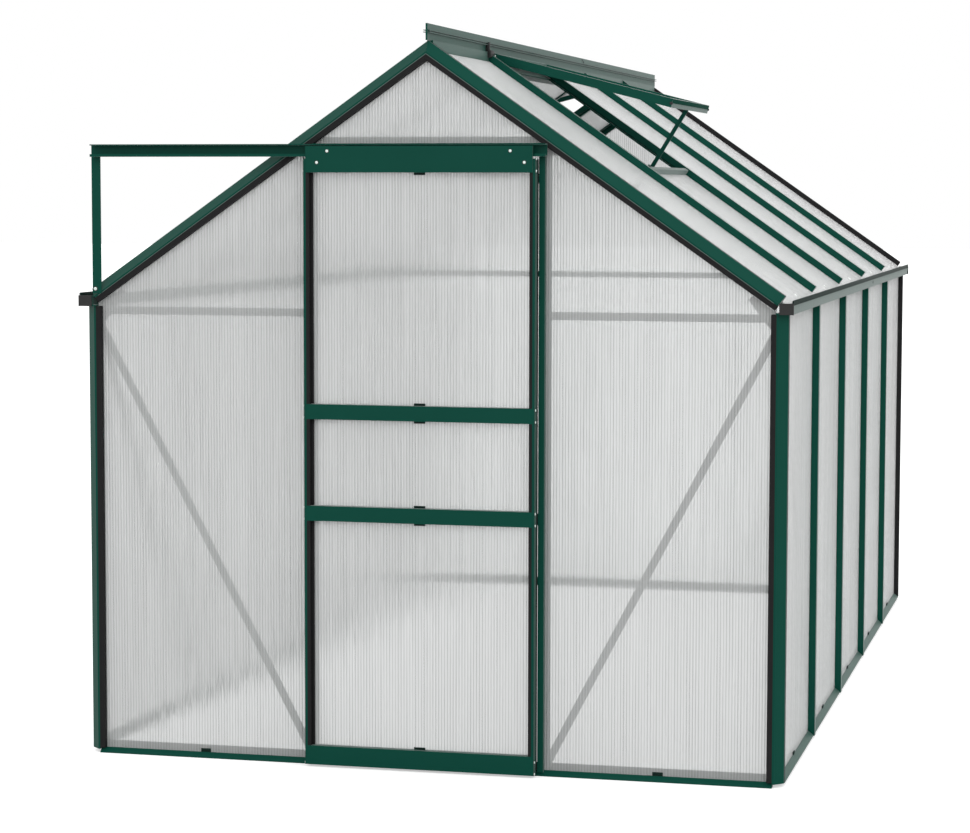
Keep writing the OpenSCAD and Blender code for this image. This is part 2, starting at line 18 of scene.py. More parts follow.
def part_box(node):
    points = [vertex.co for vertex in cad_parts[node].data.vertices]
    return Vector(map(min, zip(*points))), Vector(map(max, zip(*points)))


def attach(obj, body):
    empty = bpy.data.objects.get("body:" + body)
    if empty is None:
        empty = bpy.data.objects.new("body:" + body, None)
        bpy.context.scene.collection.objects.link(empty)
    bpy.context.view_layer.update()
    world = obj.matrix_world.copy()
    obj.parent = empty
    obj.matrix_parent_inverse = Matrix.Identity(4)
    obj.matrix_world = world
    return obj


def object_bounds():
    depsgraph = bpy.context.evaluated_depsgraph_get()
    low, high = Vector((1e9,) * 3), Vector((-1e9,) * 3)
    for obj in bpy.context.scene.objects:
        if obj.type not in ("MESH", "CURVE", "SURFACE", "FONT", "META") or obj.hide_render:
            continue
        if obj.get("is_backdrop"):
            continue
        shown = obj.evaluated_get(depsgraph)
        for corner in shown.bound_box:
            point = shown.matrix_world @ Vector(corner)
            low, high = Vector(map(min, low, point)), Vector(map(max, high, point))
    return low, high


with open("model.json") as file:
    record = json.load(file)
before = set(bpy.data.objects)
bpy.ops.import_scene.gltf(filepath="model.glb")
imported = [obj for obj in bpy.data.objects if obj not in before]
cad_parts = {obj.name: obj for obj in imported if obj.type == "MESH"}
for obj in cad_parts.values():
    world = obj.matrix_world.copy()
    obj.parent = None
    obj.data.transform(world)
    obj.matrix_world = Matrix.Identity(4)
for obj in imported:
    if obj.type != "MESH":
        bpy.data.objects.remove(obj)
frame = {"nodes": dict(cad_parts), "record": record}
cad_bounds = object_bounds()
nodes = frame["nodes"]
MM = 0.001
X, Y, Z = Vector((1, 0, 0)), Vector((0, 1, 0)), Vector((0, 0, 1))

# %% [markdown]
# ## Reading the house
# The house is a box with a gable roof, so two gable planes, two side walls and one slope
# describe it. The corner posts give the planes. The rafters give the slope, because
# their outer line runs from the apex to the corner that lies farthest out. These values
# could be typed, but read once from the pieces they follow any change of the house.

# %% Planes of the house
wall_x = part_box("front_posts")[1].x
front_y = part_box("front_posts")[0].y
back_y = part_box("back_posts")[1].y
apex_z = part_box("front_rafters")[1].z
rafter_foot = max((v.co for v in nodes["front_rafters"].data.vertices), key=lambda p: p.x)
roof_angle = math.atan2(apex_z - rafter_foot.z, rafter_foot.x)
down_right = Vector((math.cos(roof_angle), 0, -math.sin(roof_angle)))
out_right = Vector((math.sin(roof_angle), 0, math.cos(roof_angle)))
print("gables stand", round(back_y - front_y, 3), "m apart")
print("the roof falls", round(math.degrees(roof_angle), 1), "degrees")

# %% [markdown]
# ## Camera
# A product view of a house this size is taken with a long lens from well back, so that
# upright bars stay nearly parallel. The camera stands off the right-hand corner at eye
# height, is turned to the left and dips a little. It could be aimed at a point, which
# hides the angles. A heading about Z, then a dip about X, builds the same turn as a
# tripod head does, and leaves the angles readable.

# %% Camera
eye = Vector((wall_x + 0.8779, front_y - 6.8633, 1.5431))
heading = math.radians(13.659)
dip = math.radians(4.836)
level_error = math.radians(0.102)
lens = bpy.data.cameras.new("camera")
lens.lens = 100.72
lens.sensor_width = 36
lens.clip_end = 200
camera = bpy.data.objects.new("camera", lens)
tripod = Matrix.Rotation(heading, 4, "Z") @ Matrix.Rotation(math.pi / 2 - dip, 4, "X")
camera.matrix_world = Matrix.Translation(eye) @ tripod @ Matrix.Rotation(level_error, 4, "Z")
bpy.context.scene.collection.objects.link(camera)
bpy.context.scene.camera = camera
print("the camera stands", round(abs(eye.y - front_y), 2), "m in front of the gable")

# %% [markdown]
# ## Small tools for materials
# All finishes here are nodes on a Principled shader. Painted pictures would work too, but
# they blur close up, while nodes hold at any distance. Three short helpers keep the
# recipes readable: a new material, a value put into a socket and a step of arithmetic.

# %% Material tools
def finish(name, shine=0.5, ior=1.5):
    """Make an empty Principled material and return it with its node tree and shader."""
    material = bpy.data.materials.new(name)
    material.use_nodes = True
    shader = material.node_tree.nodes["Principled BSDF"]
    shader.inputs["Specular IOR Level"].default_value = shine
    shader.inputs["IOR"].default_value = ior
    return material, material.node_tree, shader


def feed(tree, source, socket):
    """Set a socket to a number or colour, or link another socket to it."""
    if isinstance(source, bpy.types.NodeSocket):
        tree.links.new(source, socket)
    else:
        socket.default_value = source


def maths(tree, operation, *values):
    """One step of arithmetic on numbers or sockets."""
    step = tree.nodes.new("ShaderNodeMath")
    step.operation = operation
    for value, socket in zip(values, step.inputs):
        feed(tree, value, socket)
    return step.outputs[0]


# %% [markdown]
# ## Patterns
# Coats and plastics are never quite even. Scanned pictures could bring that in, but they
# would have to be wrapped round dozens of bars. So every pattern here is a noise over
# the place of a point on its piece. It can be stretched to a range of values, blend two
# colours, or raise the surface by a shallow relief.

# %% Patterns
def place_on_piece(tree):
    """The three coordinates of a point in the piece's own metres."""
    place = tree.nodes.new("ShaderNodeTexCoord")
    split = tree.nodes.new("ShaderNodeSeparateXYZ")
    tree.links.new(place.outputs["Object"], split.inputs[0])
    return split.outputs


def noise(tree, per_metre, detail=3.0):
    """Noise with its own number of cells per metre along X, Y and Z."""
    here = place_on_piece(tree)
    joined = tree.nodes.new("ShaderNodeCombineXYZ")
    for axis in range(3):
        feed(tree, maths(tree, "MULTIPLY", here[axis], per_metre[axis]), joined.inputs[axis])
    cloud = tree.nodes.new("ShaderNodeTexNoise")
    cloud.inputs["Scale"].default_value = 1.0
    cloud.inputs["Detail"].default_value = detail
    tree.links.new(joined.outputs[0], cloud.inputs["Vector"])
    return cloud.outputs["Fac"]


def spread(tree, value, low, high, start=0.3, end=0.7):
    """Stretch a value that runs from start to end so that it runs from low to high."""
    stretch = tree.nodes.new("ShaderNodeMapRange")
    for source, socket in zip((value, start, end, low, high), stretch.inputs):
        feed(tree, source, socket)
    return stretch.outputs["Result"]


def blend(tree, share, first, second):
    """A colour between two others."""
    mix = tree.nodes.new("ShaderNodeMix")
    mix.data_type = "RGBA"
    feed(tree, share, mix.inputs["Factor"])
    feed(tree, (*first, 1), mix.inputs["A"])
    feed(tree, (*second, 1), mix.inputs["B"])
    return mix.outputs["Result"]


def relief(tree, shader, height, depth):
    """Raise a surface by a height pattern of the given depth in metres."""
    bump = tree.nodes.new("ShaderNodeBump")
    bump.inputs["Distance"].default_value = depth
    tree.links.new(height, bump.inputs["Height"])
    tree.links.new(bump.outputs[0], shader.inputs["Normal"])


# %% [markdown]
# ## Green powder coat
# The bars are drawn aluminium with a baked green powder on them. Powder melts into a
# fine orange peel of about two millimetres, which breaks up the shine more than the
# colour does. Peel cut into the mesh would need millions of faces, so one noise drives
# roughness and relief together, and a much wider one shifts the green slightly along
# each bar. A share of sheen makes the faces that are seen at a low angle pale, as those
# of the gutter and the ridge are.

# %% Powder coat
coat, tree, shader = finish("green_powder_coat", shine=0.05)
drift = noise(tree, (5, 5, 5))
peel = noise(tree, (450, 450, 450), detail=2.0)
green = blend(tree, drift, (0.0025, 0.0470, 0.0325), (0.0035, 0.0570, 0.0400))
feed(tree, green, shader.inputs["Base Color"])
feed(tree, spread(tree, peel, 0.30, 0.42), shader.inputs["Roughness"])
shader.inputs["Sheen Weight"].default_value = 0.35
shader.inputs["Sheen Roughness"].default_value = 0.3
relief(tree, shader, peel, 0.00006)
print("made", coat.name)

# %% [markdown]
# ## Rubber, plastic and plated steel
# The glazing strips are soft black rubber. The gutter caps are moulded black plastic with
# a spark-eroded skin, and the clips are dipped in a black that has a little green in it.
# Rollers and stud caps are pale plastic and the screws are plated steel. The rafter lips are
# a lighter green that stands for the highlight along their edges, a painted highlight, and
# the vent bars a matte dark green that stands for the shade on the free rails, painted shade.
# Each could have a recipe of its own. They all need the same three parts, though, each at
# its own scale: a colour that wanders, a roughness that follows a finer noise, and a shallow
# relief. So one maker serves them all.

# %% Small finishes
def simple_finish(name, dark, light, rough, cells, depth, shine, metal=0.0):
    """A finish with drifting colour, uneven roughness and a shallow relief."""
    material, tree, shader = finish(name, shine)
    fine = noise(tree, (cells, cells, cells))
    feed(tree, blend(tree, noise(tree, (18, 18, 18)), dark, light), shader.inputs["Base Color"])
    feed(tree, spread(tree, fine, *rough), shader.inputs["Roughness"])
    shader.inputs["Metallic"].default_value = metal
    relief(tree, shader, fine, depth)
    return material


rubber = simple_finish("black_rubber", (0.0105, 0.0105, 0.0110), (0.0150, 0.0150, 0.0155),
                       (0.55, 0.75), 260, 0.0001, 0.1)
moulded = simple_finish("moulded_black_plastic", (0.020, 0.020, 0.020), (0.028, 0.028, 0.028),
                        (0.45, 0.6), 700, 0.00008, 0.2)
clip_black = simple_finish("clip_black_green", (0.004, 0.014, 0.011), (0.006, 0.019, 0.015),
                           (0.5, 0.65), 500, 0.00006, 0.1)
cap_white = simple_finish("stud_cap_white", (0.72, 0.74, 0.73), (0.84, 0.86, 0.85),
                          (0.4, 0.55), 600, 0.00004, 0.3)
nylon = simple_finish("roller_nylon", (0.55, 0.55, 0.50), (0.66, 0.66, 0.61),
                      (0.4, 0.5), 500, 0.00004, 0.4)
plated = simple_finish("pale_plated_steel", (0.62, 0.72, 0.68), (0.78, 0.86, 0.82),
                       (0.28, 0.4), 900, 0.00003, 0.5, metal=0.25)
# The lighter green of the rafter lips is a painted highlight along their edges.
painted_highlight_edge = simple_finish("edge_with_painted_highlight", (0.055, 0.085, 0.075), (0.085, 0.120, 0.108),
                          (0.3, 0.45), 600, 0.00003, 0.3)
# A matte dark green bar on each vent rail stands for the shade on its upper half: painted shade.
matte_green = simple_finish("matte_green_painted_shade", (0.0040, 0.0400, 0.0270), (0.0055, 0.0490, 0.0340),
                            (0.7, 0.85), 450, 0.00005, 0.02)
small_finishes = (rubber, moulded, clip_black, cap_white, nylon, plated, painted_highlight_edge, matte_green)
print("made", ", ".join(made.name for made in small_finishes))

# %% [markdown]
# ## Lamp light through sheets
# Clear sheets let most light into the house. The renderer could follow the light of a
# lamp as it bends through every skin, but that takes long and comes out as bright specks.
# So a ray towards a lamp passes straight through a tint, and all other rays meet the real
# finish.

# %% Lamp light
def let_lamps_through(tree, shader, tint):
    """Let rays towards a lamp pass a surface with a tint."""
    rays = tree.nodes.new("ShaderNodeLightPath")
    clear = tree.nodes.new("ShaderNodeBsdfTransparent")
    clear.inputs["Color"].default_value = (*tint, 1)
    either = tree.nodes.new("ShaderNodeMixShader")
    tree.links.new(rays.outputs["Is Shadow Ray"], either.inputs[0])
    tree.links.new(shader.outputs[0], either.inputs[1])
    tree.links.new(clear.outputs[0], either.inputs[2])
    tree.links.new(either.outputs[0], tree.nodes["Material Output"].inputs["Surface"])


# %% [markdown]
# ## Twin-wall sheet
# A twin-wall sheet is two clear skins joined by upright webs every few millimetres, so it
# spreads what lies behind it sideways but not up and down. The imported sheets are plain
# slabs. Thousands of modelled sags would be slow, and a plain frosted glass would blur
# up and down as well. Their surface bends light the right way if its normal leans left
# and right within each cell, as the sagging skins and the draw lines do. A share of
# milky colour stands for the light that the skins scatter, and on walls and roof that
# share also glows through from behind.

# %% Sheet finish
cell_width = 7.9 * MM
glow_reach = 20 * MM


def sheet_finish(name, across, line_tone, milky, rough, glow=0.0):
    """Clear ribbed plastic whose cells follow each other along one axis of the piece."""
    material, tree, shader = finish(name, shine=0.4, ior=1.4)
    here = place_on_piece(tree)
    cells = maths(tree, "FRACT", maths(tree, "DIVIDE", here[across], cell_width))
    from_middle = maths(tree, "SUBTRACT", cells, 0.5)
    to_web = maths(tree, "ABSOLUTE", maths(tree, "MULTIPLY", from_middle, 2.0))
    at_web = maths(tree, "POWER", to_web, 3.0)
    streaks = [2.0, 2.0, 2.0]
    streaks[across] = 110.0
    strength = spread(tree, noise(tree, streaks, detail=2.0), 0.35, 1.0)
    line = maths(tree, "MULTIPLY", at_web, strength)
    feed(tree, blend(tree, line, (0.985, 0.995, 0.992), line_tone), shader.inputs["Base Color"])
    feed(tree, spread(tree, noise(tree, (60, 60, 60)), *rough), shader.inputs["Roughness"])
    shader.inputs["Transmission Weight"].default_value = 1.0 - milky
    shader.inputs["Subsurface Weight"].default_value = glow
    shader.inputs["Subsurface Scale"].default_value = 1.0
    shader.inputs["Subsurface Radius"].default_value = (glow_reach, glow_reach, glow_reach)
    draws = [1.5, 1.5, 1.5]
    draws[across] = 900.0
    draw_lines = maths(tree, "SUBTRACT", noise(tree, draws), 0.5)
    sag_lean = maths(tree, "MULTIPLY", from_middle, 0.7)
    draw_lean = maths(tree, "MULTIPLY", draw_lines, 1.1)
    lean = maths(tree, "ADD", sag_lean, draw_lean)
    sideways = tree.nodes.new("ShaderNodeCombineXYZ")
    tree.links.new(lean, sideways.inputs[across])
    turned_out = tree.nodes.new("ShaderNodeVectorTransform")
    turned_out.vector_type = "VECTOR"
    turned_out.convert_from = "OBJECT"
    turned_out.convert_to = "WORLD"
    tree.links.new(sideways.outputs[0], turned_out.inputs[0])
    leaning = tree.nodes.new("ShaderNodeVectorMath")
    leaning.operation = "ADD"
    tree.links.new(tree.nodes.new("ShaderNodeNewGeometry").outputs["Normal"], leaning.inputs[0])
    tree.links.new(turned_out.outputs[0], leaning.inputs[1])
    unit = tree.nodes.new("ShaderNodeVectorMath")
    unit.operation = "NORMALIZE"
    tree.links.new(leaning.outputs[0], unit.inputs[0])
    tree.links.new(unit.outputs[0], shader.inputs["Normal"])
    let_lamps_through(tree, shader, (0.98, 0.985, 0.985))
    return material


gable_sheet = sheet_finish("gable_sheet", across=0, line_tone=(0.50, 0.515, 0.51),
                           milky=0.31, rough=(0.015, 0.04))
side_sheet = sheet_finish("side_sheet", across=1, line_tone=(0.90, 0.915, 0.91),
                          milky=0.72, rough=(0.14, 0.20), glow=1.0)
print("a cell is", round(cell_width / MM, 1), "mm wide")

# %% [markdown]
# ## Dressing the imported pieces
# The house is one kit of bars, strips, caps, rollers and sheets, and the record says
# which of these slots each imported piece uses. Each piece could be given its material by
# name. A loop over the slots is shorter and forgets none. The sheets get one of two
# finishes, since the cells of the gables and the door follow each other along X and
# those of the walls and the roof along Y.

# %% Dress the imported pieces
slot_finish = {"frame": coat, "strip": rubber, "cap": moulded, "roller": nylon, "sheet": side_sheet}
across_x = ("front_gable_panels", "back_gable_panels", "door_panels")
for part in frame["record"]["subparts"]:
    name = part["node"]
    material = gable_sheet if name in across_x else slot_finish[part["material_slot"]]
    for held in nodes[name].material_slots:
        held.material = material
print("dressed", len(nodes), "packed pieces")

# %% [markdown]
# ## Small tools for shapes
# The fittings are turned on a lathe or bent from strip on the real house. Blender's
# ready-made shapes with modifiers could stand for them, but the fittings are many and
# small, so each kind is one joined mesh instead. Two makers cover nearly all: a turned
# part, spun from a profile, and a bar with rounded edges. A third helper stands a part
# up along a direction.

# %% Shape tools
def stand(place, out, spin=0.0):
    """A matrix that puts local Z along out at a place."""
    turn = out.to_track_quat("Z", "Y").to_matrix().to_4x4()
    return Matrix.Translation(place) @ turn @ Matrix.Rotation(spin, 4, "Z")


def turned_part(mesh, profile, where, sides=18):
    """Spin (radius, height) pairs about local Z. A radius of 0 closes the end."""
    rings = []
    for radius, height in profile:
        count = sides if radius else 1
        ring = []
        for step in range(count):
            angle = 2 * math.pi * step / sides
            corner = Vector((radius * math.cos(angle), radius * math.sin(angle), height))
            ring.append(mesh.verts.new(where @ corner))
        rings.append(ring)
    for low, high in zip(rings, rings[1:]):
        for step in range(sides):
            after = (step + 1) % sides
            corners = [low[step % len(low)], low[after % len(low)],
                       high[after % len(high)], high[step % len(high)]]
            mesh.faces.new(list(dict.fromkeys(corners)))


def rounded_bar(mesh, size, where, edge):
    """A bar with rounded edges, centred on where."""
    made = bmesh.ops.create_cube(mesh, size=1, matrix=where @ Matrix.Diagonal((*size, 1)))
    edges = list(dict.fromkeys(e for v in made["verts"] for e in v.link_edges))
    bmesh.ops.bevel(mesh, geom=edges, offset=edge, segments=2, profile=0.5, affect="EDGES")


# %% [markdown]
# ## Adding a piece
# Every fitting is fixed to the house or to the door. It could be parented by hand each time,
# but one helper does it for all: it makes the object, gives it its material and parents it
# to the empty of its body. Rounded faces are shaded smooth, and edges that turn by more than
# a fixed angle stay crisp.

# %% Piece maker
sharp_from = math.radians(35)


def add_piece(name, mesh, body, material, smooth=True):
    """Make a finished mesh into a piece that rides on a body."""
    bmesh.ops.recalc_face_normals(mesh, faces=mesh.faces)
    data = bpy.data.meshes.new(name)
    mesh.to_mesh(data)
    mesh.free()
    data.materials.append(material)
    piece = bpy.data.objects.new(name, data)
    bpy.context.scene.collection.objects.link(piece)
    if smooth:
        data.shade_smooth()
        data.set_sharp_from_angle(angle=sharp_from)
    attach(piece, body)
    print(name, "has", len(data.polygons), "faces")


# %% [markdown]
# ## Webs inside the sheets
# The webs are real walls between the skins, and seen from the side they turn the sheet
# milky. Dark lines drawn on the skin would look right only from the front, so the webs
# are modelled. Each packed sheet is cut by planes one cell apart. A cut through a flat
# slab is a rectangle, so its reach along the skin and across it gives the web that fits
# there. The slabs are collected in dictionaries, not in sets, because a dictionary keeps
# its order and every run then builds the same mesh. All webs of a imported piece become
# one mesh.

# %% Web finish
web, tree, shader = finish("sheet_web", shine=0.3, ior=1.4)
web_tone = blend(tree, noise(tree, (40, 40, 4)), (0.955, 0.965, 0.96), (0.98, 0.985, 0.98))
feed(tree, web_tone, shader.inputs["Base Color"])
feed(tree, spread(tree, noise(tree, (300, 300, 30)), 0.3, 0.45), shader.inputs["Roughness"])
let_lamps_through(tree, shader, (0.99, 0.99, 0.99))
print("made", web.name)

# %% Slabs of a sheet
def separate_slabs(node):
    """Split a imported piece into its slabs, each as a list of edges."""
    mesh = bmesh.new()
    mesh.from_mesh(node.data)
    bmesh.ops.remove_doubles(mesh, verts=mesh.verts, dist=0.01 * MM)
    waiting = dict.fromkeys(mesh.verts)
    slabs = []
    while waiting:
        front = [waiting.popitem()[0]]
        edges = {}
        while front:
            for edge in front.pop().link_edges:
                edges[edge] = True
                fresh = [v for v in edge.verts if v in waiting]
                for v in fresh:
                    del waiting[v]
                front.extend(fresh)
        slabs.append([(e.verts[0].co.copy(), e.verts[1].co.copy()) for e in edges])
    skin = max(mesh.faces, key=lambda face: face.calc_area()).normal.copy()
    mesh.free()
    return slabs, skin


# %% Webs
web_thick = 0.45 * MM
shortest_web = 4 * MM
end_margin, edge_margin, skin_margin = 1.0 * MM, 0.5 * MM, 0.9 * MM


def add_webs(name, node_name, body, across):
    """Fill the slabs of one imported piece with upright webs, one cell apart."""
    slabs, skin = separate_slabs(nodes[node_name])
    step = Vector([float(axis == across) for axis in range(3)])
    along = step.cross(skin)
    mesh = bmesh.new()
    for slab in slabs:
        low = min(min(a[across], b[across]) for a, b in slab)
        high = max(max(a[across], b[across]) for a, b in slab)
        first = math.ceil((low + edge_margin) / cell_width)
        last = math.floor((high - edge_margin) / cell_width)
        for count in range(first, last + 1):
            at = count * cell_width
            cut = [a.lerp(b, (at - a[across]) / (b[across] - a[across]))
                   for a, b in slab if (a[across] - at) * (b[across] - at) < 0]
            runs = [p.dot(along) for p in cut]
            depths = [p.dot(skin) for p in cut]
            length = max(runs) - min(runs) - end_margin
            height = max(depths) - min(depths) - skin_margin
            if length < shortest_web:
                continue
            middle = along * (max(runs) + min(runs)) / 2 + skin * (max(depths) + min(depths)) / 2 + step * at
            turn = Matrix((step, along, skin)).transposed().to_4x4()
            size = Matrix.Diagonal((web_thick, length, height, 1))
            bmesh.ops.create_cube(mesh, size=1, matrix=Matrix.Translation(middle) @ turn @ size)
    add_piece(name, mesh, body, web, smooth=False)


for node_name in sorted(n for n in nodes if n.endswith(("_panels", "_panel"))):
    side = 0 if node_name in across_x else 1
    body = "door" if node_name == "door_panels" else "house"
    add_webs(node_name.replace("panels", "webs").replace("panel", "webs"), node_name, body, side)

# %% [markdown]
# ## Screws on the door
# The rollers hang on two bolts through the top plate, and two more screws hold the plate
# to the door. Every rail is screwed on through the side of the stile. A flat disc would
# be enough from afar, but it catches no light along its rim. So a pan head is a turned
# part: a low dome with a round socket in it, on a thin dark washer that gives it an
# outline.

# %% Pan head
def pan_head(mesh, place, out, width, height):
    """A domed screw head with a socket, standing along out."""
    r = width / 2
    profile = [(0, 0.35 * height), (0.22 * r, 0.35 * height), (0.34 * r, 0.95 * height), (0.55 * r, height),
               (0.82 * r, 0.8 * height), (r, 0.35 * height), (r, 0), (0, 0)]
    turned_part(mesh, profile, stand(place, out))


def washer(mesh, place, out, width, height):
    """A thin round disc with a rounded rim."""
    r = width / 2
    profile = [(0, height), (0.9 * r, height), (r, 0.6 * height), (r, 0), (0, 0)]
    turned_part(mesh, profile, stand(place, out))


def add_screws(name, body, places, width, height, head=plated):
    """Heads and their washers for a list of (place, outward direction)."""
    heads, discs = bmesh.new(), bmesh.new()
    for place, out in places:
        washer(discs, place, out, 1.45 * width, 0.3 * height)
        pan_head(heads, place + out * 0.2 * height, out, width, 0.8 * height)
    add_piece(name + "_heads", heads, body, head)
    add_piece(name + "_washers", discs, body, moulded)


# %% Door screws
plate_low, plate_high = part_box("door_top_rail")
stile_low, stile_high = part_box("door_stiles")
roller_low, roller_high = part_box("door_rollers")
roller_r = (roller_high.z - roller_low.z) / 2
axle_z = roller_low.z + roller_r
lower_z = plate_low.z + 26 * MM
spots = [(roller_low.x + roller_r, axle_z), (roller_high.x - roller_r, axle_z),
         (plate_low.x + 31 * MM, lower_z), (plate_high.x - 22 * MM, lower_z)]
plate_places = [(Vector((x, plate_low.y, z)), -Y) for x, z in spots]
add_screws("plate_screw", "door", plate_places, 7.5 * MM, 0.8 * MM)

mid_low, mid_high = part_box("door_mid_rails")
rail_height = 40 * MM
rail_feet = (plate_low.z, mid_high.z - rail_height, mid_low.z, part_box("door_bottom_rail")[0].z)
screw_line = stile_low.y + 6 * MM
side_places = []
for foot in rail_feet:
    for rise in (4 * MM, 35 * MM):
        side_places.append((Vector((stile_high.x, screw_line, foot + rise)), X))
        side_places.append((Vector((stile_low.x, screw_line, foot + rise)), -X))
add_screws("stile_screw", "door", side_places, 7.5 * MM, 2.6 * MM)

# %% [markdown]
# ## Screws on the house
# Small screws hold the foot of the track and the joint where two lengths of ridge and
# gutter meet. The lower edge of each roof sheet is held in the middle of its bay by a
# stud with a pale cap. The heads could be copied by hand along the house, but bays
# repeat, so a loop counts them, and a sign mirrors each place to the left side.

# %% House screws
foot_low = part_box("track_support")[0]
foot_place = Vector((foot_low.x + 8 * MM, foot_low.y, foot_low.z + 12 * MM))
add_screws("track_foot_screw", "house", [(foot_place, -Y)], 9 * MM, 2.4 * MM)

bays = 5
bay = (back_y - front_y) / bays
gutter_low, gutter_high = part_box("right_gutter")
ridge_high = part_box("ridge_bar")[1]
fin_half = 2.5 * MM
joint_y = front_y + 3 * bay
joint_places = []
for side in (1, -1):
    for x, y, z in ((gutter_high.x, joint_y + 20 * MM, gutter_low.z + 15 * MM),
                    (fin_half, joint_y - 24 * MM, ridge_high.z - 6 * MM),
                    (fin_half, joint_y - 2 * MM, ridge_high.z - 12 * MM)):
        joint_places.append((Vector((side * x, y, z)), side * X))
add_screws("joint_screw", "house", joint_places, 7 * MM, 0.9 * MM, head=clip_black)

stud_drop = 21 * MM
stud_places = []
for sheets, side in (("right_roof_panels", 1), ("left_roof_panels", -1)):
    out = Vector((side * out_right.x, 0, out_right.z))
    slope = Vector((side * down_right.x, 0, down_right.z))
    top_skin = max(v.co.dot(out) for v in nodes[sheets].data.vertices)
    lower_edge = max(v.co.dot(slope) for v in nodes[sheets].data.vertices)
    for count in range(bays):
        middle = Y * (front_y + (count + 0.5) * bay)
        stud_places.append((slope * (lower_edge - stud_drop) + out * top_skin + middle, out))
caps = bmesh.new()
for place, out in stud_places:
    pan_head(caps, place, out, 9 * MM, 2.4 * MM)
add_piece("sheet_stud_caps", caps, "house", cap_white)

# %% [markdown]
# ## Clips along the sheets
# Bent spring clips press the sheets into their rails: one in the middle of every rail
# edge of the door and in the middle of every foot bar. A whole clip could be swept along
# its bent line, but the rail hides nearly all of it. Only a low tongue looks out past
# the edge, with a raised lip on it, so two rounded bars per clip are enough.

# %% Clips
def clip(mesh, place, out, up, width, height):
    """A low tongue standing on place, with a shorter lip along its free edge."""
    turn = Matrix((up.cross(out), up, out)).transposed().to_4x4()
    tongue = Matrix.Translation(place + up * height / 2) @ turn
    rounded_bar(mesh, (width, height, 2.4 * MM), tongue, 1.0 * MM)
    lip = Matrix.Translation(place + up * 0.7 * height + out * 1.0 * MM) @ turn
    rounded_bar(mesh, (0.8 * width, 0.5 * height, 2.0 * MM), lip, 0.8 * MM)


clip_gap = 1.3 * MM
door_clips = bmesh.new()
door_middle = (stile_low.x + stile_high.x) / 2
clip_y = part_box("door_panels")[0].y - clip_gap
edges = [(plate_low.z, -1), (mid_high.z, 1), (mid_high.z - rail_height, -1), (mid_low.z + rail_height, 1),
         (mid_low.z, -1), (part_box("door_bottom_rail")[1].z, 1)]
for edge_z, up in edges:
    clip(door_clips, Vector((door_middle, clip_y, edge_z)), -Y, up * Z, 31 * MM, 6.5 * MM)
add_piece("door_clips", door_clips, "door", clip_black)

sill_clips = bmesh.new()
jamb_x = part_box("door_jambs")[1].x
post_cover = 41 * MM
half_bay = (jamb_x + wall_x - post_cover) / 2
sill_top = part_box("gable_strips")[0].z
sheet_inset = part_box("front_gable_panels")[0].y - clip_gap - front_y
side_sill_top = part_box("right_wall_panels")[0].z + 2 * MM
for face, out in ((front_y, -Y), (back_y, Y)):
    for x in (half_bay, -half_bay):
        place = Vector((x, face - out.y * sheet_inset, sill_top))
        clip(sill_clips, place, out, Z, 28 * MM, 10 * MM)
for side in (1, -1):
    for count in range(bays):
        place = Vector((side * (wall_x - sheet_inset), front_y + (count + 0.5) * bay, side_sill_top))
        clip(sill_clips, place, side * X, Z, 28 * MM, 10 * MM)
add_piece("sill_clips", sill_clips, "house", clip_black)

# %% [markdown]
# ## Door seal
# A brush along the closing stile bridges the gap to the jamb, so that hardly any light
# shows past the door. It is fixed to the door and stops short of the jamb, which lets it
# slide freely. Real tufts could be hair strands, but these are too fine to be seen and
# slow to draw, so short ribs along the brush stand for them.

# %% Door seal
seal = bmesh.new()
jamb_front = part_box("door_jambs")[0].y
seal_depth = abs(jamb_front - stile_high.y) - 2 * MM
seal_y = stile_high.y + seal_depth / 2
seal_low, seal_high = stile_low.z + 12 * MM, stile_high.z - 1 * MM
seal_at = Vector((stile_high.x - 1.6 * MM, seal_y, (seal_low + seal_high) / 2))
rounded_bar(seal, (7.4 * MM, seal_depth, seal_high - seal_low), Matrix.Translation(seal_at), 0.8 * MM)
tufts = 150
for count in range(tufts):
    z = seal_low + (count + 0.5) * (seal_high - seal_low) / tufts
    tuft = Matrix.Translation(Vector((seal_at.x, seal_y + 0.25 * MM, z)))
    rounded_bar(seal, (6.6 * MM, seal_depth + 0.5 * MM, 6.0 * MM), tuft, 0.5 * MM)
add_piece("door_seal", seal, "door", rubber)

# %% [markdown]
# ## Door shade band
# The stile on the opening side has no brush. A flat black rubber band lies beside its
# glazing strip and widens the black band there. It stands for the shade along that stile,
# so it is painted shade. One long bar would run under the rails, so it is cut into three
# lengths that end at them.

# %% Door shade band
shade_band = bmesh.new()
pane_low, pane_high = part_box("door_strips")
strip_width = 8.4 * MM
shade_band_width, shade_band_thick = 8 * MM, 2.4 * MM
shade_band_x = pane_low.x + strip_width + shade_band_width / 2
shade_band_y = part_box("door_panels")[0].y - shade_band_thick / 2
lengths = [(pane_low.z, mid_low.z), (mid_low.z + rail_height, mid_high.z - rail_height),
           (mid_high.z, pane_high.z)]
for low, high in lengths:
    place = Matrix.Translation(Vector((shade_band_x, shade_band_y, (low + high) / 2)))
    rounded_bar(shade_band, (shade_band_width, shade_band_thick, high - low - 1 * MM), place, 0.8 * MM)
# A black band that stands for the shade beside the opening stile: painted shade.
add_piece("door_shade_band", shade_band, "door", rubber)

# %% [markdown]
# ## Gutter shade strips and rafter highlight lips
# A black strip along the outer edge of each gutter stands for the shade inside the gutter
# channel, so it is painted shade. A thin lip of lighter green along each rafter, where the
# glazing strip starts, stands for the highlight on that edge, so it is a painted highlight.
# A colour border painted on the bars would do from afar, but it catches no light, so each
# is a long bar with rounded edges, laid along the edge it covers.

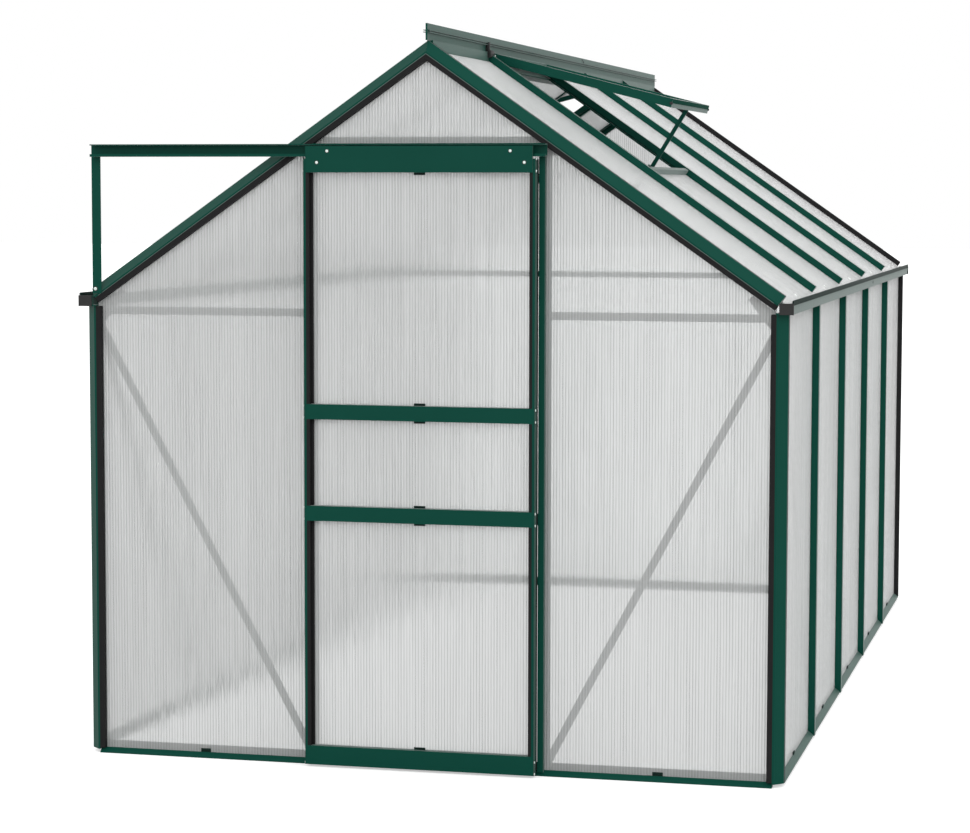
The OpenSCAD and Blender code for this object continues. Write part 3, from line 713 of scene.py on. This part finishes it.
# %% Gutter shade strips
gutter_shade_strips = bmesh.new()
shade_strip_height = 13 * MM
for side in (1, -1):
    place = Vector((side * (gutter_high.x - 1.4 * MM), 0, gutter_high.z + 1 * MM))
    length = gutter_high.y - gutter_low.y - 4 * MM
    rounded_bar(gutter_shade_strips, (4.4 * MM, length, shade_strip_height), Matrix.Translation(place), 1.2 * MM)
# The black strips are painted shade: they stand for the shade inside the gutter channels.
add_piece("gutter_shade_strips", gutter_shade_strips, "house", clip_black)

# %% Rafter highlight lips
rafter_highlight_lips = bmesh.new()
strip_top = max(v.co.dot(out_right) for v in nodes["gable_strips"].data.vertices)
lip_drop = apex_z * out_right.z - strip_top
lip_run = rafter_foot.x / down_right.x - 12 * MM
for face in (front_y, back_y):
    for side in (1, -1):
        slope = Vector((side * down_right.x, 0, down_right.z))
        out = Vector((side * out_right.x, 0, out_right.z))
        start = Vector((0, face, apex_z)) - out * lip_drop + slope * lip_drop * math.tan(roof_angle)
        run = lip_run - lip_drop * math.tan(roof_angle)
        turn = Matrix((slope, Y, slope.cross(Y))).transposed().to_4x4()
        middle = Matrix.Translation(start + slope * run / 2)
        rounded_bar(rafter_highlight_lips, (run, 2.2 * MM, 1.8 * MM), middle @ turn, 0.6 * MM)
# Lighter green that stands for the highlight on the rafter edges: a painted highlight.
add_piece("rafter_highlight_lips", rafter_highlight_lips, "house", painted_highlight_edge)

# %% [markdown]
# ## Corner plates
# Inside the gables a thin three-cornered plate ties post, rafter and cross bar together,
# and it shows through the sheet as a grey shape. It could be cut out of a sheet with a
# boolean, but a flat plate is only an outline with a thickness, so the outline is given
# once and joined to a copy of itself.

# %% Corner plates
plates = bmesh.new()
tie_low, tie_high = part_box("gable_tie_bars")
post_flange = 31 * MM
post_inside = wall_x - post_flange
plate_thick = 2 * MM
outline = [(post_inside, tie_low.z - 39 * MM), (post_inside, tie_high.z + 4 * MM),
           (post_inside - 62 * MM, tie_high.z + 47 * MM), (post_inside - 75 * MM, tie_high.z + 38 * MM)]
for gable in (tie_low.y + 3 * MM, tie_high.y - 3 * MM - plate_thick):
    for side in (1, -1):
        near = [plates.verts.new((side * x, gable, z)) for x, z in outline]
        far = [plates.verts.new((side * x, gable + plate_thick, z)) for x, z in outline]
        plates.faces.new(near)
        plates.faces.new(list(reversed(far)))
        for step in range(len(outline)):
            after = (step + 1) % len(outline)
            plates.faces.new([near[step], far[step], far[after], near[after]])
add_piece("corner_plates", plates, "house", coat, smooth=False)

# %% [markdown]
# ## Vent hinges and plugs
# The roof vents hang in the slot of the ridge bar. A black stop at the near end, a hook
# on the ridge and a foot on the vent, keeps each from sliding along it, and a bolt holds
# the foot. The ends of the free rail are closed with plastic plugs. The stops are cast
# pieces with many small faces, but only their outline reads, so two rounded bars do.

# %% Vent hinges
stops = bmesh.new()
plugs = bmesh.new()
hinge_bolts = []
hook_size, foot_size = (11 * MM, 12 * MM, 26 * MM), (10 * MM, 42 * MM, 20 * MM)
plug_outline = [(0, 5 * MM), (3.4 * MM, 4.6 * MM), (4.4 * MM, 3 * MM), (4.4 * MM, 0), (0, 0)]
rib_z = ridge_high.z - 23 * MM
for vent, side in (("right_vent_frame", 1), ("left_vent_frame", -1)):
    vent_low, vent_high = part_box(vent)
    hook = Vector((side * 8 * MM, vent_low.y - 36 * MM, rib_z - 6 * MM))
    rounded_bar(stops, hook_size, Matrix.Translation(hook), 1.5 * MM)
    foot = Vector((side * 14 * MM, vent_low.y - 24 * MM, vent_high.z - 4 * MM))
    rounded_bar(stops, foot_size, Matrix.Translation(foot), 1.5 * MM)
    hinge_bolts.append((Vector((side * 20 * MM, vent_low.y, vent_high.z - 8 * MM)), -Y))
    free_x = side * (max(abs(vent_low.x), abs(vent_high.x)) - 5 * MM)
    for end, away in ((vent_low.y, -1), (vent_high.y, 1)):
        turned_part(plugs, plug_outline, stand(Vector((free_x, end, vent_low.z + 12 * MM)), away * Y))
add_piece("hinge_stops", stops, "house", moulded)
add_piece("vent_plugs", plugs, "house", moulded)
add_screws("hinge_bolt", "house", hinge_bolts, 5 * MM, 1.8 * MM)

# %% [markdown]
# ## Vent shade bars
# A thin matte dark green bar covers the upper half of the outer face of each vent's free
# rail, where that face lies in shade, so the bar is painted shade. Its colour could be a
# second material on some faces of the rail, but the imported rail has one face there, so
# the bar is a piece of its own. The rail's two outer corners give the direction in which
# that face leans.

# %% Vent shade bars
vent_shade_bars = bmesh.new()
for vent in ("right_vent_frame", "left_vent_frame"):
    corners = [v.co for v in nodes[vent].data.vertices]
    top, low = max(corners, key=lambda p: abs(p.x)), min(corners, key=lambda p: p.z)
    up = Vector((top.x - low.x, 0, top.z - low.z)).normalized()
    vent_low, vent_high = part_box(vent)
    middle = Vector((top.x, (vent_low.y + vent_high.y) / 2, top.z)) - up * 6.5 * MM
    turn = Matrix((Y.cross(up), Y, up)).transposed().to_4x4()
    length = vent_high.y - vent_low.y - 4 * MM
    rounded_bar(vent_shade_bars, (1.8 * MM, length, 12 * MM), Matrix.Translation(middle) @ turn, 0.5 * MM)
# The matte dark green bars are painted shade on the upper half of each free rail.
add_piece("vent_shade_bars", vent_shade_bars, "house", matte_green)

# %% [markdown]
# ## Floor
# The house stands on a pale matte studio floor. A white floor could simply be lit until
# it clips, but then the light it throws back would wash out the green. So a camera ray
# sees a brighter floor than a light ray does. Both keep the soft shadow at the foot of
# the house.

# %% Floor
floor_mesh = bmesh.new()
bmesh.ops.create_grid(floor_mesh, x_segments=8, y_segments=8, size=60)
floor_data = bpy.data.meshes.new("studio_floor")
floor_mesh.to_mesh(floor_data)
floor_mesh.free()
floor = bpy.data.objects.new("studio_floor", floor_data)
bpy.context.scene.collection.objects.link(floor)
floor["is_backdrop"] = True
pale, tree, shader = finish("pale_floor", shine=0.0)
shader.inputs["Base Color"].default_value = (0.55, 0.55, 0.55, 1)
shader.inputs["Roughness"].default_value = 0.9
rays = tree.nodes.new("ShaderNodeLightPath")
bright = tree.nodes.new("ShaderNodeBsdfPrincipled")
bright.inputs["Base Color"].default_value = (0.75, 0.75, 0.75, 1)
bright.inputs["Roughness"].default_value = 0.9
bright.inputs["Specular IOR Level"].default_value = 0.0
bright.inputs["Emission Color"].default_value = (1, 1, 1, 1)
bright.inputs["Emission Strength"].default_value = 0.45
either = tree.nodes.new("ShaderNodeMixShader")
seen = maths(tree, "MAXIMUM", rays.outputs["Is Camera Ray"], rays.outputs["Is Transmission Ray"])
feed(tree, seen, either.inputs[0])
tree.links.new(shader.outputs[0], either.inputs[1])
tree.links.new(bright.outputs[0], either.inputs[2])
tree.links.new(either.outputs[0], tree.nodes["Material Output"].inputs["Surface"])
floor_data.materials.append(pale)
print("made", floor.name, "in", pale.name)

# %% [markdown]
# ## Backdrop
# The walls of the studio are far away and even. They could be a big box round the house,
# with corners that show in the shine of the bars. A plain world has none. What the
# camera sees of it, directly, in a reflection or through a sheet, is white, and what
# lights the house stays at a plain level.

# %% World
world = bpy.data.worlds.new("studio")
world.use_nodes = True
bpy.context.scene.world = world
tree = world.node_tree
even = tree.nodes["Background"]
even.inputs["Color"].default_value = (1, 1, 1, 1)
even.inputs["Strength"].default_value = 1.0
white = tree.nodes.new("ShaderNodeBackground")
white.inputs["Color"].default_value = (1, 1, 1, 1)
white.inputs["Strength"].default_value = 1.0
rays = tree.nodes.new("ShaderNodeLightPath")
seen = maths(tree, "MAXIMUM", rays.outputs["Is Camera Ray"], rays.outputs["Is Transmission Ray"])
seen = maths(tree, "MAXIMUM", seen, rays.outputs["Is Glossy Ray"])
either = tree.nodes.new("ShaderNodeMixShader")
feed(tree, seen, either.inputs[0])
tree.links.new(even.outputs[0], either.inputs[1])
tree.links.new(white.outputs[0], either.inputs[2])
tree.links.new(either.outputs[0], tree.nodes["World Output"].inputs["Surface"])
print("made the world", world.name)

# %% [markdown]
# ## Lamps
# Three studio screens stand round the house. Area lamps would light the near end more
# than the far one, on a house that is over three metres long, so each screen is a far
# lamp with a wide angle instead. One from the front and one from the right give the bars
# their light and dark sides. A weak one from the left lights the far wall, which is seen
# through the front gable.

# %% Lamps
screen_angle = math.radians(70)


def broad_lamp(name, power, from_where):
    """A far lamp as wide as a studio screen, shining from one direction."""
    light = bpy.data.lights.new(name, "SUN")
    light.energy = power
    light.angle = screen_angle
    lamp = bpy.data.objects.new(name, light)
    lamp.matrix_world = stand(from_where * 8, from_where)
    bpy.context.scene.collection.objects.link(lamp)
    print(name, "shines with", power)


broad_lamp("main_lamp", 0.95, Vector((0.05, -0.95, 0.32)))
broad_lamp("side_lamp", 0.88, Vector((0.85, 0.05, 0.52)))
broad_lamp("fill_lamp", 0.45, Vector((-0.90, 0.15, 0.38)))

# %% [markdown]
# ## Last settings
# Light crosses several clear skins on its way through the house, so the ray limits are
# raised. Bright specks from light bent by the sheets could be smoothed away afterwards,
# but it is cleaner not to make them, so those rays are off. The view stays on Standard.
# The box of the imported model and that of the dressed one are compared, and the largest
# difference between them is printed.

# %% Finish
scene = bpy.context.scene
scene.view_settings.view_transform = "Standard"
scene.cycles.max_bounces = 16
scene.cycles.transmission_bounces = 16
scene.cycles.transparent_max_bounces = 48
scene.cycles.caustics_reflective = False
scene.cycles.caustics_refractive = False
visual_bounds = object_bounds()
differences = [abs(a - b) for p, q in zip(cad_bounds, visual_bounds) for a, b in zip(p, q)]
print("sizes agree within", round(max(differences) / MM, 2), "mm")
